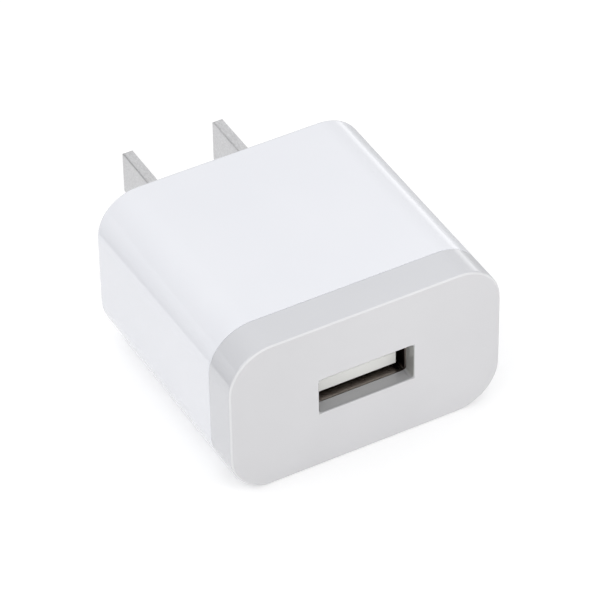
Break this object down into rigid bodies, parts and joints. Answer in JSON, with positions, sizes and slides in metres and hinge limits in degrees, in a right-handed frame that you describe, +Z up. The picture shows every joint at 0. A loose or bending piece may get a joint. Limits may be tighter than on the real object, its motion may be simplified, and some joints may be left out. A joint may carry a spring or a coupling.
{
  "type": "usb wall charger",
  "caption": "Compact USB-A wall charger with a rounded white sleeve, flat plug blades at the rear, a grey front cap with a USB window, and the socket and charging board inside.",
  "frame": {"origin": "centre of the flat rear face that lies against the wall, midway between the blades", "axes": "+Y out of the wall face along the blades, +Z up as the charger lies in the picture, +X to the right seen from the front; the USB socket faces -Y"},
  "size_m": [0.0364, 0.0493, 0.0214],
  "materials": {
    "sleeve_plastic": "glossy moulded white",
    "cap_plastic": "satin light grey",
    "blade_metal": "satin nickel plate",
    "spring_bronze": "bright strip",
    "board_laminate": "solder mask",
    "shell_steel": "nickel-plated sheet",
    "tongue_plastic": "natural white moulding",
    "contact_gold": "gold flash",
    "ferrite": "sintered",
    "bobbin_plastic": "phenolic moulding",
    "winding_tape": "polyester tape",
    "tinned_pin": "tinned",
    "input_can": "sleeved can",
    "output_can": "sleeved can",
    "disc_coating": "epoxy coat",
    "copper_winding": "enamelled wire",
    "resistor_coating": "lacquer",
    "chip_epoxy": "moulding compound",
    "chip_resistor_body": "glazed",
    "chip_capacitor_body": "sintered"
  },
  "bodies": {
    "charger": {"housing": "sleeve_plastic", "front_cap": "cap_plastic", "left_blade": "blade_metal", "right_blade": "blade_metal", "left_blade_spring": "spring_bronze", "right_blade_spring": "spring_bronze", "main_board": "board_laminate", "usb_shell": "shell_steel", "usb_insulator": "tongue_plastic", "usb_contact_tails": "contact_gold", "transformer_core_front": "ferrite", "transformer_core_rear": "ferrite", "transformer_bobbin": "bobbin_plastic", "transformer_winding": "winding_tape", "transformer_pins": "tinned_pin", "left_input_capacitor": "input_can", "right_input_capacitor": "input_can", "left_output_capacitor": "output_can", "right_output_capacitor": "output_can", "disc_capacitor": "disc_coating", "line_inductor_core": "ferrite", "line_inductor_winding": "copper_winding", "fusible_resistor": "resistor_coating", "bridge_rectifier": "chip_epoxy", "controller_chip": "chip_epoxy", "output_diode": "chip_epoxy", "clamp_diode": "chip_epoxy", "chip_resistors": "chip_resistor_body", "chip_capacitors": "chip_capacitor_body"},
    "contact_1": {"usb_contact_1": "contact_gold"},
    "contact_2": {"usb_contact_2": "contact_gold"},
    "contact_3": {"usb_contact_3": "contact_gold"},
    "contact_4": {"usb_contact_4": "contact_gold"}
  },
  "joints": [
    {"name": "contact_1_flex", "type": "hinge", "parent": "charger", "child": "contact_1", "pos_m": [-0.0035, -0.0225, -0.00045], "axis": [1, 0, 0], "range_deg": [0, 4], "stiffness_Nm_per_rad": 0.06},
    {"name": "contact_2_flex", "type": "hinge", "parent": "charger", "child": "contact_2", "pos_m": [-0.001, -0.0225, -0.00045], "axis": [1, 0, 0], "range_deg": [0, 4], "stiffness_Nm_per_rad": 0.06},
    {"name": "contact_3_flex", "type": "hinge", "parent": "charger", "child": "contact_3", "pos_m": [0.001, -0.0225, -0.00045], "axis": [1, 0, 0], "range_deg": [0, 4], "stiffness_Nm_per_rad": 0.06},
    {"name": "contact_4_flex", "type": "hinge", "parent": "charger", "child": "contact_4", "pos_m": [0.0035, -0.0225, -0.00045], "axis": [1, 0, 0], "range_deg": [0, 4], "stiffness_Nm_per_rad": 0.06}
  ]
}
